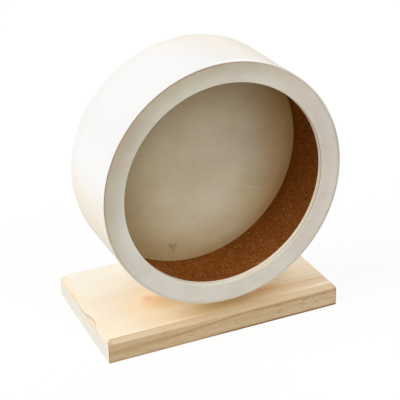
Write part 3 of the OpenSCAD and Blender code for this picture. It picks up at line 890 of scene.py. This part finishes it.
# Painted bounce: browner near the cork on the right.
painted_cork_bounce = disc.fade(disc.distance(disc.x, disc.z, 0.0, axle_z), 84.0, 94.0)
painted_cork_bounce = disc.times(painted_cork_bounce, disc.fade(disc.x, -25.0, 15.0))
disc_colour = disc.tinted(disc_colour, painted_cork_bounce, (0.89, 0.81, 0.69))
slant = disc.plus(disc.times(disc.x, 0.40), disc.z)
pale_streak = disc.times(disc.window(slant, 113.9, 115.5, 0.9), disc.window(disc.x, 33.0, 65.0, 7.0))
disc_colour = disc.dabbed(disc_colour, pale_streak, 0.65, tone(255, 250, 232))
rear_face = disc.fade(disc.y, disc_high.y - 0.6, disc_high.y - 0.2)
disc.colour(disc.blend(rear_face, disc_colour, rear_colour))
disc.relief(disc_streak, 0.05, 0.3)
wear(disc, "back_disc")

# %% [markdown]
# The hub block is a disc of thick plywood. Seen from the side, its plies are stripes, pale and
# dark by turns. The stripes come from the depth alone, so they run round the whole rim, and
# the two faces keep the veneer.

# %% Hub block
PLY_PITCH_MM = 2.86
hub = Finish("hub_ply", roughness=0.55, shine=0.3)
hub_colour, hub_streak = veneer(hub, ACROSS, tone(240, 222, 192), tone(206, 178, 138),
                                0.40, 0.25, 0.30)
hub_low, hub_high = extent("hub_block")
hub_r = (hub_high.z - hub_low.z) / 2
hub_radius = hub.distance(hub.x, hub.z, 0.0, axle_z)
ply_phase = hub.sum("FRACT", hub.sum("DIVIDE", hub.plus(hub.y, -hub_low.y), PLY_PITCH_MM))
cross_ply = hub.window(ply_phase, 0.5, 0.97, 0.05)
hub_rim = hub.fade(hub_radius, hub_r - 1.7, hub_r - 1.3)
hub_edge_colour = hub.blend(cross_ply, tone(236, 214, 178), tone(168, 130, 90))
hub.colour(hub.blend(hub_rim, hub_colour, hub_edge_colour))
hub.relief(hub_streak, 0.06, 0.3)
wear(hub, "hub_block")

# %% [markdown]
# The running track is pressed cork. Crumbs of bark, a millimetre or so across, are baked into
# a block and cut into sheets. Each crumb has its own brown, some bits of bark are nearly black
# and a few cut crumbs are pale. Cells of a Voronoi pattern are such crumbs: each has a random
# colour, and the distance from its middle shows where it meets the next. The surface is
# slightly pitted between the crumbs, which gives the animal its grip.

# %% Cork
CRUMB_MM = 1.25
cork = Finish("cork", roughness=0.85, shine=0.15)
crumbs = cork.step("ShaderNodeTexVoronoi", {
    "Vector": cork.place, "Scale": 1.0 / CRUMB_MM, "Randomness": 1.0,
})
crumb_split = cork.step("ShaderNodeSeparateColor", {"Color": crumbs.outputs["Color"]})
crumb_red, crumb_green, crumb_blue = crumb_split.outputs
crumb_wall = cork.fade(crumbs.outputs["Distance"], 0.35, 0.75)
cork_brown = cork.blend(crumb_red, tone(178, 108, 46), tone(148, 86, 31))
cork_brown = cork.blend(cork.fade(crumb_green, 0.85, 0.94), cork_brown, tone(192, 130, 80))
cork_brown = cork.blend(cork.fade(crumb_blue, 0.93, 0.99), cork_brown, tone(112, 60, 18))
cork_brown = cork.darkened(cork_brown, crumb_wall, 0.26)
blotch = cork.fade(cork.noise(cork.place, 4.5, 2.0, 0.6), 0.38, 0.62, 0.2, 1.0)
# The first three coats are painted shade: the track is browner deeper in the drum, darker towards the
# top, and darker next to the disc. The blotches are the cork's own.
cork_brown = cork.glazed(cork_brown, [
    (cork.fade(cork.y, -40.0, disc_low.y), (0.97, 0.98, 0.72)),
    (cork.fade(cork.z, 50.0, 170.0), (0.77, 0.73, 0.32)),
    (cork.fade(cork.y, -3.0, disc_low.y), (0.88, 0.86, 0.78)),
    (blotch, (0.92, 0.82, 0.68)),
])
cork.colour(cork_brown)
cork_grit = cork.noise(cork.place, 0.5, 3.0, 0.6)
cork.relief(cork.plus(cork.times(crumb_wall, -0.7), cork.times(cork_grit, 0.5)), 0.30, 0.8)
wear(cork, "cork_liner")

# %% [markdown]
# The axle is ordinary hardware. Bolts, nuts and washers are zinc plated: blue-grey, slightly
# cloudy, with fine marks from turning or stamping. Bearing races are ground bearing steel,
# darker and cleaner. Balls are polished like mirrors. All are one metal with other numbers,
# so a table lists them.

# %% Metals
METALS = [  # name, colour, cloudy colour, roughness, grain of the marks, CAD nodes
    ("zinc_plate", (206, 209, 214), (178, 184, 194), 0.36, (1.0, 4.0, 1.0),
     ("axle_bolt", "jam_nut", "lock_nut")),
    ("zinc_washer", (200, 203, 208), (172, 178, 188), 0.42, (1.0, 1.0, 1.0),
     ("hub_washer", "front_thrust_washer", "rear_thrust_washer", "race_spacer")),
    ("yellow_zinc", (222, 204, 150), (206, 180, 140), 0.38, (1.0, 1.0, 3.0),
     ("upright_screws",)),
    ("race_steel", (186, 188, 192), (170, 172, 177), 0.24, (1.0, 6.0, 1.0),
     ("front_bearing_outer_race", "front_bearing_inner_race",
      "rear_bearing_outer_race", "rear_bearing_inner_race")),
    ("shield_steel", (192, 194, 198), (176, 179, 184), 0.34, (1.0, 1.0, 1.0),
     ("front_bearing_shields", "rear_bearing_shields")),
    ("ball_steel", (214, 216, 219), (206, 208, 212), 0.12, (1.0, 1.0, 1.0),
     ("front_bearing_balls", "rear_bearing_balls")),
]


def plated(name, colour, cloudy, roughness, marks_grain):
    """Zinc plate or ground steel: a metal with soft clouds and fine marks."""
    made = Finish(name, roughness=roughness)
    made.shader.inputs["Metallic"].default_value = 1.0
    cloud = made.noise(made.place, 2.5, 3.0, 0.6)
    marks = made.noise(made.scaled(made.place, marks_grain), 0.25, 2.0, 0.5)
    made.colour(made.blend(made.fade(cloud, 0.35, 0.7), colour, cloudy))
    made.rough(made.plus(made.sum("MULTIPLY_ADD", cloud, 0.16, roughness - 0.10),
                         made.sum("MULTIPLY_ADD", marks, 0.12, -0.06)))
    made.relief(marks, 0.01, 0.35)
    return made


metals = {}
for name, colour, cloudy, roughness, marks_grain, nodes in METALS:
    metals[name] = plated(name, tone(*colour), tone(*cloudy), roughness, marks_grain)
    wear(metals[name], *nodes)

# %% [markdown]
# Two small pieces are nylon. The cages that space the balls are left in the plastic's own
# milky colour, and the ring that locks the nut is dyed blue. Moulded nylon is never quite even,
# so both have faint clouds.

# %% Nylon
NYLONS = [  # name, roughness, shine, patch in mm, colour, cloudy colour, CAD nodes
    ("cage_nylon", 0.5, 0.4, 1.5, (238, 232, 214), (222, 214, 194),
     ("front_bearing_cage", "rear_bearing_cage")),
    ("ring_nylon", 0.42, 0.45, 1.2, (52, 96, 186), (40, 80, 164),
     ("lock_nut_insert",)),
]
for name, roughness, shine, patch_mm, colour, cloudy, nodes in NYLONS:
    nylon = Finish(name, roughness=roughness, shine=shine)
    nylon_cloud = nylon.noise(nylon.place, patch_mm, 2.0, 0.5)
    nylon.colour(nylon.blend(nylon_cloud, tone(*colour), tone(*cloudy)))
    nylon.relief(nylon_cloud, 0.02, 0.4)
    wear(nylon, *nodes)

# %% [markdown]
# Bolts and screws are turned or rolled pieces, so both are made like that: rows of points go
# round an axis, and each row joins the next with faces. On a real bolt the thread is rolled
# between two dies, as one spiral ridge. Here each point is pushed in or out by where it lies on
# that spiral, so the ridge comes from one rule and not from many stacked rings.

# %% Turned pieces and threads
def turned(name, rows, place):
    """A closed piece from rows of (radius, along) points, which go round it once a row."""
    sides = len(rows[0])
    points = []
    for row in rows:
        for index, (radius, along) in enumerate(row):
            points.append(place(2 * math.pi * index / sides, radius, along))
    faces = []
    for row in range(len(rows) - 1):
        for index in range(sides):
            after = (index + 1) % sides
            faces.append((
                row * sides + index, row * sides + after,
                (row + 1) * sides + after, (row + 1) * sides + index,
            ))
    faces.append(tuple(reversed(range(sides))))
    last = (len(rows) - 1) * sides
    faces.append(tuple(range(last, last + sides)))
    mesh = bpy.data.meshes.new(name)
    mesh.from_pydata([tuple(value * MM for value in point) for point in points], [], faces)
    shaped = bmesh.new()
    shaped.from_mesh(mesh)
    bmesh.ops.recalc_face_normals(shaped, faces=shaped.faces)
    shaped.to_mesh(mesh)
    shaped.free()
    piece = bpy.data.objects.new(name, mesh)
    bpy.context.scene.collection.objects.link(piece)
    return piece


def smooth_by_angle(piece, degrees):
    """Shades gentle bends smoothly and leaves real corners sharp."""
    mesh = piece.data
    for face in mesh.polygons:
        face.use_smooth = True
    mesh.set_sharp_from_angle(angle=math.radians(degrees))


def spiral_ridge(turn_share, along, pitch, flat):
    """Height of a thread's ridge, from 0 in the groove to 1 on the crest."""
    share = (along / pitch - turn_share) % 1.0
    return min(1.0, max(0.0, (1.0 - abs(2.0 * share - 1.0)) * (1.0 + flat)))


print("Half a turn up a 1.25 mm thread lies at", spiral_ridge(0.5, 0.0, 1.25, 0.0), "of its ridge")

# %% [markdown]
# The axle is a bolt of 8 mm thread with a six-sided head, and its head sits in the hub block.
# The head is turned round at its face, so its corners slope away there. The first pitch of the
# thread runs in from the plain shank, and the tip is bevelled, so that a nut finds its way on.
# The bolt takes the place of the plain CAD bolt and stays inside it.

# %% Axle bolt with a rolled thread
BOLT_SIDES = 72
BOLT_R = 4.0
BOLT_PITCH = 1.25
BOLT_GROOVE = 0.62
CREST_FLAT = 0.35
PLAIN_SHANK = 2.0
TIP_BEVEL = 0.8
TIP_R = 3.1
HEAD_FLATS = 13.0
HEAD_HEIGHT = 5.3
HEAD_TURNED_R = 6.3
HEAD_SLOPE = math.tan(math.radians(30))
THREAD_STEPS = 8
CORNER_DEGREES = 32


def hexagon_radius(turn_share, flats):
    """Distance from the middle of a six-sided head to its side in one direction."""
    degrees = (turn_share * 360) % 60 - 30
    return flats / 2 / math.cos(math.radians(degrees))


bolt_low, bolt_high = extent("axle_bolt")
head_rear = bolt_low.y + HEAD_HEIGHT
thread_start = head_rear + PLAIN_SHANK
shares = [index / BOLT_SIDES for index in range(BOLT_SIDES)]
hexagon = [hexagon_radius(share, HEAD_FLATS) for share in shares]
rows = [
    [(HEAD_TURNED_R, bolt_low.y) for share in shares],
    [(radius, bolt_low.y + (radius - HEAD_TURNED_R) * HEAD_SLOPE) for radius in hexagon],
    [(radius, head_rear) for radius in hexagon],
    [(BOLT_R, head_rear) for share in shares],
    [(BOLT_R, thread_start - BOLT_PITCH / 2) for share in shares],
]
along = thread_start
while along < bolt_high.y:
    run_in = min(1.0, (along - thread_start) / BOLT_PITCH)
    end_limit = BOLT_R - max(0.0, along - (bolt_high.y - TIP_BEVEL))
    rows.append([
        (min(end_limit, BOLT_R - BOLT_GROOVE * run_in
             * (1.0 - spiral_ridge(share, along, BOLT_PITCH, CREST_FLAT))), along)
        for share in shares
    ])
    along += BOLT_PITCH / THREAD_STEPS
rows.append([(TIP_R, bolt_high.y) for share in shares])


def on_axle(angle, radius, along):
    return (radius * math.cos(angle), along, axle_z + radius * math.sin(angle))


bolt = turned("threaded_axle_bolt", rows, on_axle)
smooth_by_angle(bolt, CORNER_DEGREES)
bolt.data.materials.append(metals["zinc_plate"].material)
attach(bolt, "wheel")
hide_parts("axle_bolt")
print("Bolt has", len(rows), "rows of", BOLT_SIDES, "points")

# %% [markdown]
# Two wood screws come up through the base board and pull the upright down on it. The head is a
# cone with a cross recess. On the real screw a punch presses the recess in while the wire is
# cold, and here a tapered cross is cut out of the head in the same way.

# %% Recess of a screw's head
SCREW_HEAD_R = 4.0
RECESS_ARM = [(2.2, 0.45), (0.5, 0.5), (0.45, 2.2)]
RECESS_ROWS = [(-0.5, 1.12), (1.9, 0.45)]  # height above the head's face, and scale
screws_low, screws_high = extent("upright_screws")
screw_y = (screws_low.y + screws_high.y) / 2
screw_x = screws_high.x - SCREW_HEAD_R
head_foot = screws_low.z


def cross_punch(name, x):
    """A cross-shaped punch that narrows upwards, for the recess in a screw's head."""
    corners = []
    for quarter in range(4):
        angle = quarter * math.pi / 2
        for across, rise in RECESS_ARM:
            corners.append((
                across * math.cos(angle) - rise * math.sin(angle),
                across * math.sin(angle) + rise * math.cos(angle),
            ))
    points = [
        ((x + across * scale) * MM, (screw_y + rise * scale) * MM, (head_foot + height) * MM)
        for height, scale in RECESS_ROWS for across, rise in corners
    ]
    count = len(corners)
    faces = [
        (index, (index + 1) % count, count + (index + 1) % count, count + index)
        for index in range(count)
    ]
    faces.append(tuple(reversed(range(count))))
    faces.append(tuple(range(count, 2 * count)))
    mesh = bpy.data.meshes.new(name)
    mesh.from_pydata(points, [], faces)
    punch = bpy.data.objects.new(name, mesh)
    bpy.context.scene.collection.objects.link(punch)
    return punch


print("Screws stand at x", round(-screw_x, 1), "and", round(screw_x, 1), "mm, y", round(screw_y, 1), "mm")

# %% [markdown]
# A wood screw's thread is a thin sharp ridge round a slim core, so that it cuts its own way,
# and it runs out into a point. The shank above it is plain, which lets the board below be
# pulled tight. Both screws together stand for the one CAD node that holds the pair.

# %% Countersunk wood screws
SCREW_SIDES = 40
SCREW_R = 2.0
SCREW_CORE_R = 1.3
SCREW_SHANK_R = 1.45
SCREW_PITCH = 1.8
SCREW_TIP = 6.0
SCREW_TIP_R = 0.06
SCREW_STEPS = 10
THREAD_FOOT = 16.0
SCREW_PROFILE = [  # radius, and height above the head's face
    (SCREW_HEAD_R - 0.15, 0.0), (SCREW_HEAD_R, 0.05), (2.05, 2.0),
    (SCREW_SHANK_R, 2.9), (SCREW_SHANK_R, 15.0), (SCREW_CORE_R, 15.6),
]


def sharp_ridge(share, along):
    """A thread that is thin at its crest, with flat core between the turns."""
    return max(0.0, 2.2 * spiral_ridge(share, along, SCREW_PITCH, 0.0) - 1.2)


def wood_screw(name, x):
    """One screw with its recess cut, standing at x."""
    shares = [index / SCREW_SIDES for index in range(SCREW_SIDES)]
    rows = [[(radius, head_foot + rise) for share in shares] for radius, rise in SCREW_PROFILE]
    thread_foot = head_foot + THREAD_FOOT
    along = thread_foot
    while along < screws_high.z - 0.15:
        run_in = min(1.0, (along - thread_foot) / SCREW_PITCH)
        taper = min(1.0, (screws_high.z - along) / SCREW_TIP + 0.08)
        rows.append([
            (taper * (SCREW_CORE_R + run_in * (SCREW_R - SCREW_CORE_R) * sharp_ridge(share, along)),
             along)
            for share in shares
        ])
        along += SCREW_PITCH / SCREW_STEPS
    rows.append([(SCREW_TIP_R, screws_high.z) for share in shares])

    def stood_up(angle, radius, height):
        return (x + radius * math.cos(angle), screw_y + radius * math.sin(angle), height)

    screw = turned(name, rows, stood_up)
    punch = cross_punch(name + "_punch", x)
    cut = screw.modifiers.new("recess", "BOOLEAN")
    cut.operation = "DIFFERENCE"
    cut.solver = "EXACT"
    cut.object = punch
    bpy.context.view_layer.update()
    evaluated = screw.evaluated_get(bpy.context.evaluated_depsgraph_get())
    finished = bpy.data.meshes.new_from_object(evaluated)
    screw.modifiers.clear()
    screw.data = finished
    bpy.data.objects.remove(punch)
    smooth_by_angle(screw, CORNER_DEGREES)
    screw.data.materials.clear()
    screw.data.materials.append(metals["yellow_zinc"].material)
    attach(screw, "stand")
    return screw


left_screw = wood_screw("wood_screw_left", -screw_x)
wood_screw("wood_screw_right", screw_x)
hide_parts("upright_screws")
print("Screws have", len(left_screw.data.vertices), "points each")

# %% [markdown]
# No wooden edge leaves the workshop razor sharp, since a pass with sandpaper takes it down. A narrow
# bevel on the two boards does the same and catches the light as a thin pale line.

# %% Broken edges
SHARP_DEGREES = 35


def break_edges(node, width_mm, steps):
    """Rounds every sharp edge of a CAD piece by a small width."""
    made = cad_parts[node].modifiers.new("broken_edges", "BEVEL")
    made.width = width_mm * MM
    made.segments = steps
    made.limit_method = "ANGLE"
    made.angle_limit = math.radians(SHARP_DEGREES)
    made.harden_normals = False


break_edges("base_board", 0.5, 2)
break_edges("upright_board", 1.2, 3)
print("Edges broken on the boards")
